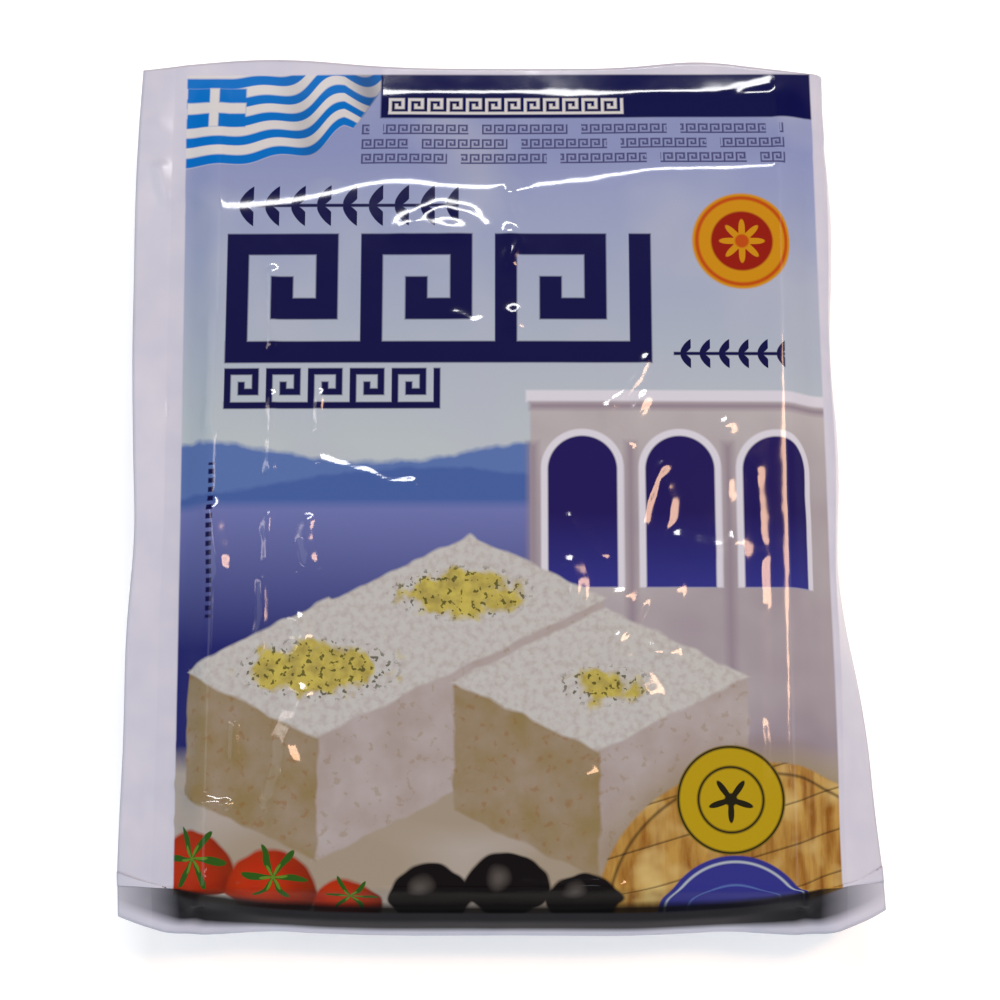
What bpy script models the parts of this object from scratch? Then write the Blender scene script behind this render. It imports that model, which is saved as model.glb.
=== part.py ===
"""A sealed film pack of cheese, lying on its back with the printed front up.

Two sheets of film are welded round a flat block of cheese. The front sheet lies tight on the block
and drops a little past its edges. The back sheet comes up round the block like a tray, and both run
out into a thin margin.
The pack is shut and can't be seen into, so it is one solid: the film with the block inside it.

+X runs across the pack, +Y to its top edge, +Z out of the printed front. The back lies on Z = 0.
"""

import math

import bmesh
import bpy
import numpy as np

MM = 0.001

# The block of cheese, which is not centred: it sits at the bottom edge of the pouch.
BLOCK_WIDTH = 109.4 * MM
BLOCK_BOTTOM = -79.2 * MM
BLOCK_TOP = 55.5 * MM
BLOCK_TOP_SKEW = 4.8 * MM  # the right end of the top edge lies this much above its middle
BLOCK_TOP_SWELLS = ((-22 * MM, 3.0 * MM, 13 * MM), (30 * MM, 1.2 * MM, 10 * MM))
BLOCK_THICKNESS = 25 * MM
BLOCK_CROWN = 0.6 * MM  # the front bulges this much at its middle

# The pouch of film round it, before its margins bend.
LEFT_MARGIN = 8.5 * MM
RIGHT_MARGIN = 10.2 * MM
BOTTOM_MARGIN = 8.3 * MM
POUCH_TOP = 79.6 * MM
WELD_LEVEL = 20 * MM  # height of the welded margins above the back
MARGIN_THICKNESS = 0.6 * MM  # both sheets, with the air between them

# Where an edge of the pouch swells out or dips in: place along the edge, amount, half length.
TOP_SWELLS = ((-44 * MM, 1.9 * MM, 18 * MM), (38 * MM, 1.4 * MM, 11 * MM), (70 * MM, -1.6 * MM, 14 * MM))
LEFT_SWELLS = ((48 * MM, 1.0 * MM, 26 * MM), (-14 * MM, -0.9 * MM, 14 * MM))

# Where the film turns down: it starts inside the block's edge and meets the margin outside it.
EDGE_ROUNDING = 2.5 * MM
SIDE_RUN = 6.0 * MM
TOP_WELD = 75.5 * MM  # the film comes down to the weld here, in one straight line
BOTTOM_RUN = 1.8 * MM
CORNER_SLACK = 0.30  # the film runs out this much further past the block's corners
SHORT_BLENDS = (0.34, 0.38)  # shares of a short run that bend over the edge and into the margin
LONG_BLENDS = (0.17, 0.16)

# The margins bend down past a fold line.
FOLD_RADIUS = 2.0 * MM
LEFT_DROOP = math.radians(9)
RIGHT_DROOP_TOP = math.radians(80)
RIGHT_DROOP_BOTTOM = math.radians(20)
RIGHT_DROOP_START = -91 * MM  # the right margin bends more and more from here up to the next place
RIGHT_DROOP_FULL = -9 * MM
BOTTOM_DROOP = math.radians(67)
BOTTOM_DROOP_CORNER = math.radians(12)
BOTTOM_FOLD_LIFT = 7.0 * MM  # the bottom fold line rises this much towards the corners
MARGIN_WAVE = 0.5 * MM
MARGIN_WAVE_LENGTH = 47 * MM

# Pleats of spare film, spread like a fan from each corner of the block.
PLEAT_HEIGHT = 0.5 * MM
PLEAT_START = 4 * MM
PLEAT_END = 19 * MM
PLEATS_PER_CORNER = 2

# Mesh cells across each zone of the pouch, from edge to edge.
CELLS_ACROSS = {"margin": 5, "side": 7, "face": 22}
CELLS_ALONG = {"bottom margin": 5, "bottom side": 6, "face": 26, "top slope": 13, "top margin": 3}

FILM_COLOUR = (0.33, 0.38, 0.60, 1)


def clear_scene():
    for obj in list(bpy.data.objects):
        bpy.data.objects.remove(obj, do_unlink=True)


def ramp(start, end, value):
    """0 at start, 1 at end and a smooth rise between them."""
    share = np.clip((value - start) / (end - start), 0, 1)
    return share * share * (3 - 2 * share)


def descent(share, blend_in, blend_out):
    """0 to 1 along a straight slope with a round shoulder at its start and a round foot."""
    shoulder = np.minimum(share, blend_in) ** 2 / (2 * blend_in)
    straight = np.clip(share, blend_in, 1 - blend_out) - blend_in
    left = 1 - np.maximum(share, 1 - blend_out)
    foot = (blend_out**2 - left**2) / (2 * blend_out)
    foot = np.where(share > 1 - blend_out, foot, 0)
    return (shoulder + straight + foot) / (1 - blend_in / 2 - blend_out / 2)


def swollen(place, swells):
    """How far an edge swells out at a place along it."""
    return sum(amount * np.exp(-(((place - centre) / reach) ** 2)) for centre, amount, reach in swells)


def half_width():
    return BLOCK_WIDTH / 2


def side_fold():
    """Distance of the side folds from the middle."""
    return half_width() + SIDE_RUN


def block_top(x):
    """The block's top edge, which is cut a little askew and not quite straight."""
    askew = BLOCK_TOP_SKEW * np.clip(x / half_width(), -1, 1)
    return BLOCK_TOP + askew + swollen(x, BLOCK_TOP_SWELLS)


def bottom_fold(x):
    return BLOCK_BOTTOM - BOTTOM_RUN + BOTTOM_FOLD_LIFT * (x / (side_fold() + LEFT_MARGIN)) ** 4


def outside_block(x, y):
    """How far a point lies beside the block and beyond its ends, each as a share of the run."""
    beside = (np.abs(x) - half_width() + EDGE_ROUNDING) / (SIDE_RUN + EDGE_ROUNDING)
    above = (y - block_top(x) + EDGE_ROUNDING) / (TOP_WELD - block_top(x) + EDGE_ROUNDING)
    below = (BLOCK_BOTTOM + EDGE_ROUNDING - y) / (BOTTOM_RUN + EDGE_ROUNDING)
    return np.maximum(beside, 0), np.maximum(np.maximum(above, below), 0)


def turned_down(x, y):
    """How far the film has come down: 0 on the block's face, 1 where it meets the margin."""
    beside, beyond = outside_block(x, y)
    sum_of_squares = np.maximum(beside**2 + beyond**2, 1e-9)
    slack = 1 + CORNER_SLACK * 2 * beside * beyond / sum_of_squares
    share = np.clip(np.sqrt(beside**2 + beyond**2) / slack, 0, 1)
    towards_top = beyond**2 / sum_of_squares * (y > 0)
    blend_in = SHORT_BLENDS[0] + (LONG_BLENDS[0] - SHORT_BLENDS[0]) * towards_top
    blend_out = SHORT_BLENDS[1] + (LONG_BLENDS[1] - SHORT_BLENDS[1]) * towards_top
    return descent(share, blend_in, blend_out)


def corner_pleats(x, y):
    """Height of the fan of pleats round the block's corners, above the plain film."""
    beside = np.maximum(np.abs(x) - half_width() + EDGE_ROUNDING, 0)
    beyond = np.maximum(y - block_top(x), BLOCK_BOTTOM - y) + EDGE_ROUNDING
    beyond = np.maximum(beyond, 0)
    away = np.hypot(beside, beyond)
    turn = np.arctan2(beyond, beside) / (math.pi / 2)
    fan = np.cos(2 * math.pi * PLEATS_PER_CORNER * (turn - 0.5)) * np.sin(math.pi * turn)
    reach = ramp(0, PLEAT_START, away) * (1 - ramp(PLEAT_START, PLEAT_END, away))
    return PLEAT_HEIGHT * fan * reach


def margin_waves(x, y):
    """Slow waves that run along the side margins and die out on the block."""
    beside = ramp(half_width(), side_fold() + LEFT_MARGIN, np.abs(x))
    phase = 2 * math.pi * (y / MARGIN_WAVE_LENGTH + 0.2 * np.sign(x))
    return MARGIN_WAVE * np.sin(phase) * beside


def roll(length, angle):
    """How far out and how far down a strip gets when it bends by an angle past a fold line."""
    turned = np.minimum(length / FOLD_RADIUS, angle)
    straight = length - FOLD_RADIUS * turned
    out = FOLD_RADIUS * np.sin(turned) + straight * np.cos(angle)
    down = FOLD_RADIUS * (1 - np.cos(turned)) + straight * np.sin(angle)
    return out, down, turned


def bend_margins(x, y, z):
    """Folds the side margins and then the bottom margin down, and leaves the rest where it is."""
    eased = ramp(RIGHT_DROOP_START, RIGHT_DROOP_FULL, y)
    right_droop = RIGHT_DROOP_BOTTOM + (RIGHT_DROOP_TOP - RIGHT_DROOP_BOTTOM) * eased
    side_droop = np.where(x > 0, right_droop, LEFT_DROOP)
    past_side = np.maximum(np.abs(x) - side_fold(), 0)
    out, down, turned = roll(past_side, side_droop)
    above_sheet = z - WELD_LEVEL
    before_fold = np.minimum(np.abs(x), side_fold())
    bent_x = np.sign(x) * (before_fold + out + above_sheet * np.sin(turned))
    bent_z = WELD_LEVEL - down + above_sheet * np.cos(turned)

    near_corner = ramp(half_width() * 0.7, side_fold() + LEFT_MARGIN, np.abs(x))
    bottom_droop = BOTTOM_DROOP + (BOTTOM_DROOP_CORNER - BOTTOM_DROOP) * near_corner
    past_bottom = np.maximum(bottom_fold(x) - y, 0)
    out, down, turned = roll(past_bottom, bottom_droop)
    above_sheet = bent_z - WELD_LEVEL
    folded_y = bottom_fold(x) - out - above_sheet * np.sin(turned)
    folded_z = WELD_LEVEL - down + above_sheet * np.cos(turned)
    below_fold = past_bottom > 0
    return bent_x, np.where(below_fold, folded_y, y), np.where(below_fold, folded_z, bent_z)


def sheet(x, y, side):
    """Points of the front sheet (side 1) or the back sheet (side -1) over the flat pouch."""
    off_block = turned_down(x, y)
    across = np.clip(x / half_width(), -1, 1)
    along = np.clip((2 * y - BLOCK_TOP - BLOCK_BOTTOM) / (BLOCK_TOP - BLOCK_BOTTOM), -1, 1)
    crown = BLOCK_CROWN * (1 - across**2) * (1 - along**2)
    face = BLOCK_THICKNESS + crown if side > 0 else 0.0
    margin = WELD_LEVEL + side * MARGIN_THICKNESS / 2
    z = face + (margin - face) * off_block
    z = z + (corner_pleats(x, y) + margin_waves(x, y)) * off_block
    return np.stack(bend_margins(x, y, z), -1)


def spaced(rails, cells):
    """Grid lines through the rails, with the given number of equal cells between each two."""
    lines = [rails[0]]
    for start, end, count in zip(rails, rails[1:], cells):
        lines += [start + (end - start) * (i + 1) / count for i in range(count)]
    return np.stack(lines, -1)


def flat_grid():
    """The pouch's grid before it is formed: its lines follow the block's edges and the folds."""
    fold, inner = side_fold(), half_width() - EDGE_ROUNDING
    margin, side, face = CELLS_ACROSS.values()
    stops = np.array([-fold - LEFT_MARGIN, -fold, -inner, inner, fold, fold + RIGHT_MARGIN])
    columns = spaced(stops, [margin, side, face, side, margin])
    rails = [bottom_fold(columns) - BOTTOM_MARGIN, bottom_fold(columns)]
    rails += [np.full_like(columns, BLOCK_BOTTOM + EDGE_ROUNDING)]
    rails += [block_top(columns) - EDGE_ROUNDING, np.full_like(columns, TOP_WELD)]
    rails += [POUCH_TOP + swollen(columns, TOP_SWELLS)]
    y = spaced(rails, CELLS_ALONG.values())
    x = columns[:, None] - swollen(y, LEFT_SWELLS) * ramp(fold, fold + LEFT_MARGIN, -columns)[:, None]
    return x, y


def closed_pouch():
    """A bmesh of both sheets, joined along the pouch's outer edge."""
    x, y = flat_grid()
    fronts, backs = sheet(x, y, 1), sheet(x, y, -1)
    lowest = np.minimum(fronts.min((0, 1)), backs.min((0, 1)))
    highest = np.maximum(fronts.max((0, 1)), backs.max((0, 1)))
    centre = (lowest + highest) / 2
    centre[2] = 0

    mesh = bmesh.new()
    front = [[mesh.verts.new(p - centre) for p in row] for row in fronts]
    back = [[mesh.verts.new(p - centre) for p in row] for row in backs]
    last_x, last_y = x.shape[0] - 1, x.shape[1] - 1
    for i in range(last_x):
        for j in range(last_y):
            mesh.faces.new((front[i][j], front[i + 1][j], front[i + 1][j + 1], front[i][j + 1]))
            mesh.faces.new((back[i][j], back[i][j + 1], back[i + 1][j + 1], back[i + 1][j]))
    rim = [(i, 0) for i in range(last_x)] + [(last_x, j) for j in range(last_y)]
    rim += [(i, last_y) for i in range(last_x, 0, -1)] + [(0, j) for j in range(last_y, 0, -1)]
    for (i, j), (k, m) in zip(rim, rim[1:] + rim[:1]):
        mesh.faces.new((back[i][j], back[k][m], front[k][m], front[i][j]))
    return mesh


def plastic(name, colour, roughness):
    material = bpy.data.materials.new(name)
    material.use_nodes = True
    shader = material.node_tree.nodes["Principled BSDF"]
    shader.inputs["Base Color"].default_value = colour
    shader.inputs["Roughness"].default_value = roughness
    shader.inputs["Metallic"].default_value = 0
    return material


def make_pouch():
    shape = closed_pouch()
    mesh = bpy.data.meshes.new("pouch")
    shape.to_mesh(mesh)
    shape.free()
    mesh.shade_smooth()
    mesh.set_sharp_from_angle(angle=math.radians(60))
    mesh.materials.append(plastic("film", FILM_COLOUR, 0.2))
    pouch = bpy.data.objects.new("pouch", mesh)
    bpy.context.scene.collection.objects.link(pouch)
    return pouch


clear_scene()
make_pouch()
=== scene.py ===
"""The looks of a sealed film pack of cheese, seen from above its printed front.

The film is one closed mesh: a front sheet drawn tight on the block, a coarser back sheet and the edge
that joins them. Its print is a generic design of colour fields, stripes, a meander and plain shapes,
painted by nodes in the flat film's own millimetres.

+X runs across the pack, +Y to its top edge, +Z out of the printed front. The back lies on Z = 0.
"""

import math

import bpy
import numpy as np
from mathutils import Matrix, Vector


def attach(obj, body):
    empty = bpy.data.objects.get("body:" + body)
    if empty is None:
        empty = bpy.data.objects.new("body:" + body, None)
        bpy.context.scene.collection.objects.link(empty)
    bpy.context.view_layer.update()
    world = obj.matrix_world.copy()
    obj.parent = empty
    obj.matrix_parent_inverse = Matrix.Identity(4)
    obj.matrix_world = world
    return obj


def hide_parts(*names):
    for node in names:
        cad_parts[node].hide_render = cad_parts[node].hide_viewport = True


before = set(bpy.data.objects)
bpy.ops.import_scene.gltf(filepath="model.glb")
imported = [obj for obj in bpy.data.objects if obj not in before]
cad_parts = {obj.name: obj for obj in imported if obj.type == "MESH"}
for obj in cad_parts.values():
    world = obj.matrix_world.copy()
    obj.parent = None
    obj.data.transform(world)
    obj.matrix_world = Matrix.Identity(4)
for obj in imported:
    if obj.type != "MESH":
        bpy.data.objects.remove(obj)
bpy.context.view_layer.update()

MM = 0.001

# The CAD part's own sizes, which give the film its form.
BLOCK_WIDTH = 109.4 * MM
BLOCK_BOTTOM = -79.2 * MM
BLOCK_TOP = 55.5 * MM
BLOCK_TOP_SKEW = 4.8 * MM
BLOCK_TOP_SWELLS = ((-22 * MM, 3.0 * MM, 13 * MM), (30 * MM, 1.2 * MM, 10 * MM))
BLOCK_THICKNESS = 25 * MM
BLOCK_CROWN = 0.6 * MM
LEFT_MARGIN = 8.5 * MM
RIGHT_MARGIN = 10.2 * MM
BOTTOM_MARGIN = 8.3 * MM
POUCH_TOP = 79.6 * MM
WELD_LEVEL = 20 * MM
TOP_SWELLS = ((-44 * MM, 1.9 * MM, 18 * MM), (38 * MM, 1.4 * MM, 11 * MM), (70 * MM, -1.6 * MM, 14 * MM))
LEFT_SWELLS = ((48 * MM, 1.0 * MM, 26 * MM), (-14 * MM, -0.9 * MM, 14 * MM))
EDGE_ROUNDING = 2.5 * MM
SIDE_RUN = 6.0 * MM
TOP_WELD = 75.5 * MM
BOTTOM_RUN = 1.8 * MM
CORNER_SLACK = 0.30
SHORT_BLENDS = (0.34, 0.38)
LONG_BLENDS = (0.17, 0.16)
FOLD_RADIUS = 2.0 * MM
LEFT_DROOP = math.radians(9)
RIGHT_DROOP_TOP = math.radians(80)
RIGHT_DROOP_BOTTOM = math.radians(20)
RIGHT_DROOP_START = -91 * MM
RIGHT_DROOP_FULL = -9 * MM
BOTTOM_DROOP = math.radians(67)
BOTTOM_DROOP_CORNER = math.radians(12)
BOTTOM_FOLD_LIFT = 7.0 * MM
MARGIN_WAVE = 0.5 * MM
MARGIN_WAVE_LENGTH = 47 * MM
PLEAT_HEIGHT = 0.5 * MM
PLEAT_START = 4 * MM
PLEAT_END = 19 * MM
PLEATS_PER_CORNER = 2
MIDDLE = (0.135 * MM, -1.978 * MM)  # the place in these measures that lies at the origin

# The film itself is thinner than the CAD solid's margin.
FILM_THICKNESS = 0.3 * MM

# Mesh cells across each zone of the film, from edge to edge. The totals divide by BACK_STEP.
CELLS_ACROSS = {"left margin": 12, "side": 20, "face": 201, "right margin": 14}
CELLS_ALONG = {"bottom margin": 10, "bottom side": 14, "face": 240, "top slope": 42, "top margin": 9}
BACK_STEP = 3
FOOT_CELLS = 9  # how many cells the top slope's foot takes

# The photograph's camera: it looks down on the pack, a little from below the print.
CAMERA_TILT = math.radians(11.5)
CAMERA_DISTANCE = 430 * MM
CAMERA_TARGET = Vector((-0.135 * MM, -2.022 * MM, 12 * MM))
VIEW_SPAN = 190 * MM  # what the frame's width shows at that distance
SENSOR = 36


def ramp(start, end, value):
    """0 at start, 1 at end and a smooth rise between them."""
    share = np.clip((value - start) / (end - start), 0, 1)
    return share * share * (3 - 2 * share)


def bump(value):
    """1 at 0, falling smoothly to nothing at about 2 on either side."""
    return np.exp(-(value**2))


def descent(share, blend_in, blend_out):
    """0 to 1 along a straight slope with a round shoulder at its start and a round foot."""
    shoulder = np.minimum(share, blend_in) ** 2 / (2 * blend_in)
    straight = np.clip(share, blend_in, 1 - blend_out) - blend_in
    left = 1 - np.maximum(share, 1 - blend_out)
    foot = (blend_out**2 - left**2) / (2 * blend_out)
    foot = np.where(share > 1 - blend_out, foot, 0)
    return (shoulder + straight + foot) / (1 - blend_in / 2 - blend_out / 2)


def noise(x, y, size, seed):
    """Smooth random values from -1 to 1 that change over about the given size."""
    count = 64
    table = np.random.default_rng(seed).uniform(-1, 1, (count, count))
    column, row = np.floor(x / size), np.floor(y / size)
    right, up = x / size - column, y / size - row
    right, up = right * right * (3 - 2 * right), up * up * (3 - 2 * up)
    i, j = column.astype(int) % count, row.astype(int) % count
    k, m = (i + 1) % count, (j + 1) % count
    low = table[i, j] * (1 - right) + table[k, j] * right
    high = table[i, m] * (1 - right) + table[k, m] * right
    return low * (1 - up) + high * up


def layered_noise(x, y, size, seed):
    """Noise with a finer, weaker layer on it, turned so that no grid shows."""
    turned_x, turned_y = 0.8 * x + 0.6 * y, 0.8 * y - 0.6 * x
    return (noise(x, y, size, seed) + 0.5 * noise(turned_x, turned_y, size * 0.47, seed + 1)) / 1.5


# The film's form, as in the CAD part


def half_width():
    return BLOCK_WIDTH / 2


def side_fold():
    return half_width() + SIDE_RUN


def swollen(place, swells):
    return sum(amount * bump((place - centre) / reach) for centre, amount, reach in swells)


def block_top(x):
    askew = BLOCK_TOP_SKEW * np.clip(x / half_width(), -1, 1)
    return BLOCK_TOP + askew + swollen(x, BLOCK_TOP_SWELLS)


def bottom_fold(x):
    return BLOCK_BOTTOM - BOTTOM_RUN + BOTTOM_FOLD_LIFT * (x / (side_fold() + LEFT_MARGIN)) ** 4


def outside_block(x, y):
    """How far a point lies beside the block and beyond its ends, each as a share of the run."""
    beside = (np.abs(x) - half_width() + EDGE_ROUNDING) / (SIDE_RUN + EDGE_ROUNDING)
    above = (y - block_top(x) + EDGE_ROUNDING) / (TOP_WELD - block_top(x) + EDGE_ROUNDING)
    below = (BLOCK_BOTTOM + EDGE_ROUNDING - y) / (BOTTOM_RUN + EDGE_ROUNDING)
    return np.maximum(beside, 0), np.maximum(np.maximum(above, below), 0)


def turned_down(x, y):
    """How far the film has come down: 0 on the block's face, 1 where it meets the margin."""
    beside, beyond = outside_block(x, y)
    sum_of_squares = np.maximum(beside**2 + beyond**2, 1e-9)
    slack = 1 + CORNER_SLACK * 2 * beside * beyond / sum_of_squares
    share = np.clip(np.sqrt(beside**2 + beyond**2) / slack, 0, 1)
    towards_top = beyond**2 / sum_of_squares * (y > 0)
    blend_in = SHORT_BLENDS[0] + (LONG_BLENDS[0] - SHORT_BLENDS[0]) * towards_top
    blend_out = SHORT_BLENDS[1] + (LONG_BLENDS[1] - SHORT_BLENDS[1]) * towards_top
    return descent(share, blend_in, blend_out)


def corner_pleats(x, y):
    beside = np.maximum(np.abs(x) - half_width() + EDGE_ROUNDING, 0)
    beyond = np.maximum(y - block_top(x), BLOCK_BOTTOM - y) + EDGE_ROUNDING
    beyond = np.maximum(beyond, 0)
    away = np.hypot(beside, beyond)
    turn = np.arctan2(beyond, beside) / (math.pi / 2)
    fan = np.cos(2 * math.pi * PLEATS_PER_CORNER * (turn - 0.5)) * np.sin(math.pi * turn)
    reach = ramp(0, PLEAT_START, away) * (1 - ramp(PLEAT_START, PLEAT_END, away))
    return PLEAT_HEIGHT * fan * reach


def margin_waves(x, y):
    beside = ramp(half_width(), side_fold() + LEFT_MARGIN, np.abs(x))
    phase = 2 * math.pi * (y / MARGIN_WAVE_LENGTH + 0.2 * np.sign(x))
    return MARGIN_WAVE * np.sin(phase) * beside


def roll(length, angle):
    """How far out and how far down a strip gets when it bends by an angle past a fold line."""
    turned = np.minimum(length / FOLD_RADIUS, angle)
    straight = length - FOLD_RADIUS * turned
    out = FOLD_RADIUS * np.sin(turned) + straight * np.cos(angle)
    down = FOLD_RADIUS * (1 - np.cos(turned)) + straight * np.sin(angle)
    return out, down, turned


def bend_margins(x, y, z):
    """Folds the side margins and then the bottom margin down, and leaves the rest where it is."""
    eased = ramp(RIGHT_DROOP_START, RIGHT_DROOP_FULL, y)
    right_droop = RIGHT_DROOP_BOTTOM + (RIGHT_DROOP_TOP - RIGHT_DROOP_BOTTOM) * eased
    side_droop = np.where(x > 0, right_droop, LEFT_DROOP)
    past_side = np.maximum(np.abs(x) - side_fold(), 0)
    out, down, turned = roll(past_side, side_droop)
    above_sheet = z - WELD_LEVEL
    before_fold = np.minimum(np.abs(x), side_fold())
    bent_x = np.sign(x) * (before_fold + out + above_sheet * np.sin(turned))
    bent_z = WELD_LEVEL - down + above_sheet * np.cos(turned)

    near_corner = ramp(half_width() * 0.7, side_fold() + LEFT_MARGIN, np.abs(x))
    bottom_droop = BOTTOM_DROOP + (BOTTOM_DROOP_CORNER - BOTTOM_DROOP) * near_corner
    past_bottom = np.maximum(bottom_fold(x) - y, 0)
    out, down, turned = roll(past_bottom, bottom_droop)
    above_sheet = bent_z - WELD_LEVEL
    folded_y = bottom_fold(x) - out - above_sheet * np.sin(turned)
    folded_z = WELD_LEVEL - down + above_sheet * np.cos(turned)
    below_fold = past_bottom > 0
    return bent_x, np.where(below_fold, folded_y, y), np.where(below_fold, folded_z, bent_z)


def sheet(x, y, side):
    """Points of the plain front sheet (side 1) or back sheet (side -1) over the flat pouch."""
    off_block = turned_down(x, y)
    across = np.clip(x / half_width(), -1, 1)
    along = np.clip((2 * y - BLOCK_TOP - BLOCK_BOTTOM) / (BLOCK_TOP - BLOCK_BOTTOM), -1, 1)
    crown = BLOCK_CROWN * (1 - across**2) * (1 - along**2)
    face = BLOCK_THICKNESS + crown if side > 0 else 0.0
    margin = WELD_LEVEL + side * FILM_THICKNESS / 2
    z = face + (margin - face) * off_block
    z = z + (corner_pleats(x, y) + margin_waves(x, y)) * off_block
    return np.stack(bend_margins(x, y, z), -1)


# The flat film, measured along its own surface


def turn_table(run, blends):
    """Plan distance and film length from where the film leaves the face to where it meets the margin."""
    plan = np.linspace(0, run + EDGE_ROUNDING, 200)
    drop = (BLOCK_THICKNESS - WELD_LEVEL) * descent(plan / plan[-1], *blends)
    steps = np.hypot(np.diff(plan), np.diff(drop))
    return plan, np.concatenate([[0], np.cumsum(steps)])


SIDE_TURN = turn_table(SIDE_RUN, SHORT_BLENDS)
TOP_TURN = turn_table(TOP_WELD - BLOCK_TOP, LONG_BLENDS)
BOTTOM_TURN = turn_table(BOTTOM_RUN, SHORT_BLENDS)
FACE_EDGE = BLOCK_WIDTH / 2 - EDGE_ROUNDING
PRINT_EDGE = FACE_EDGE + SIDE_TURN[1][-1]  # the print ends where the side margin starts


def spaced(rails, cells):
    """Grid lines through the rails, with the given number of equal cells between each two."""
    lines = [rails[0]]
    for start, end, count in zip(rails, rails[1:], cells):
        lines += [start + (end - start) * (i + 1) / count for i in range(count)]
    return np.stack(lines, -1)


def film_grid():
    """The film's grid: its own flat coordinates u, v and the place x, y of each point in plan."""
    left, side, face, right = CELLS_ACROSS.values()
    stops = [-PRINT_EDGE - LEFT_MARGIN, -PRINT_EDGE, -FACE_EDGE]
    stops += [FACE_EDGE, PRINT_EDGE, PRINT_EDGE + RIGHT_MARGIN]
    u = spaced(np.array(stops), [left, side, face, side, right])
    past_face = np.maximum(np.abs(u) - FACE_EDGE, 0)
    turned = np.interp(past_face, SIDE_TURN[1], SIDE_TURN[0])
    past_print = np.maximum(np.abs(u) - PRINT_EDGE, 0)
    column_x = np.sign(u) * (np.minimum(np.abs(u), FACE_EDGE) + turned + past_print)

    low_face, high_face = BLOCK_BOTTOM + EDGE_ROUNDING, block_top(column_x) - EDGE_ROUNDING
    stretch = (TOP_WELD - high_face) / TOP_TURN[0][-1]
    low_weld, high_weld = low_face - BOTTOM_TURN[1][-1], high_face + stretch * TOP_TURN[1][-1]
    top_margin = POUCH_TOP + swollen(column_x, TOP_SWELLS) - TOP_WELD
    rails = [low_weld - BOTTOM_MARGIN + 0 * column_x, low_weld + 0 * column_x]
    rails += [low_face + 0 * column_x, high_face, high_weld, high_weld + top_margin]
    v = spaced(rails, CELLS_ALONG.values())

    low, high = low_face, high_face[:, None]
    below = np.interp(np.clip(low - v, 0, None), BOTTOM_TURN[1], BOTTOM_TURN[0])
    stretch = stretch[:, None]
    above = stretch * np.interp(np.clip(v - high, 0, None) / stretch, TOP_TURN[1], TOP_TURN[0])
    past_low = np.maximum(low_weld - v, 0)
    past_high = np.maximum(v - high_weld[:, None], 0)
    fold_lift = (bottom_fold(column_x) - BLOCK_BOTTOM + BOTTOM_RUN)[:, None]
    lifted = fold_lift * np.clip((low - v) / BOTTOM_TURN[1][-1], 0, 1)
    y = np.clip(v, low, high) - below + above - past_low + past_high + lifted

    bulge = swollen(y, LEFT_SWELLS) * ramp(side_fold(), side_fold() + LEFT_MARGIN, -column_x)[:, None]
    x = column_x[:, None] - bulge
    return np.broadcast_to(u[:, None], v.shape), v, x, y


def surface_normals(points):
    """Unit normals of a grid of points, out of the front."""
    along_u = np.gradient(points, axis=0)
    along_v = np.gradient(points, axis=1)
    normal = np.cross(along_u, along_v)
    return normal / np.linalg.norm(normal, axis=-1, keepdims=True)


# Relief of the film: where the cheese under it swells, where it creases and where it puckers

# Creases of the film over the cheese: the half width of each, then the points it runs through, in mm.
# The first lot turn a flank to the pack's top edge, the second to its right edge.
# Their steepness is height over half width, in the middle of the face and its change per mm.
ACROSS_STEEPNESS = (0.225, -0.0019)
CREASES_ACROSS = (
    (2.0, (-18.1, 45.8), (-11.3, 46.3), (-7.5, 45.3)),
    (1.2, (-15.5, 46.6), (-14.4, 48.6), (-10.4, 49.7), (-5.7, 48.6), (-3.0, 45.8)),
    (1.0, (-8.2, 28.8), (-6.4, 28.1), (-5.2, 26.9), (-3.7, 27.4)),
    (1.2, (-32.7, 0.7), (-28.6, -0.6), (-24.7, -1.9), (-21.7, -3.3)),
    (1.0, (-19.9, -4.0), (-16.2, -3.7)),
    (0.8, (-36.8, -20.0), (-32.9, -20.1)),
    (2.0, (32.4, -14.4), (35.7, -15.3), (39.4, -15.9), (42.9, -14.6)),
    (1.4, (41.5, 7.5), (41.9, 7.5)),
    (0.9, (-60.4, -58.4), (-56.6, -59.2), (-54.0, -61.4), (-48.9, -62.4)),
    (0.9, (-48.9, -62.4), (-51.0, -64.2), (-53.8, -65.8), (-57.6, -66.1), (-60.6, -65.0)),
    (1.4, (-55.8, -61.2), (-53.0, -62.8)),
    (0.9, (-52.5, -75.4), (-50.7, -74.7), (-48.9, -75.3)),
    (0.9, (-46.2, -76.6), (-44.5, -75.9), (-42.3, -76.3)),
    (0.8, (3.6, -76.4), (10.7, -76.9), (16.0, -76.3), (21.3, -76.8)),
    (0.8, (27.0, 73.8), (30.8, 74.0), (34.7, 72.8), (38.5, 71.6), (40.8, 73.2)),
    (0.9, (43.4, 74.2), (47.3, 75.7), (52.1, 77.2)),
    (1.1, (0.4, 54.6), (2.6, 52.8), (5.0, 53.4)),
    (1.5, (-67.5, 69.5), (-65.0, 67.0), (-62.5, 65.8)),
)
ALONG_STEEPNESS = (0.29, -0.0022)
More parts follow.
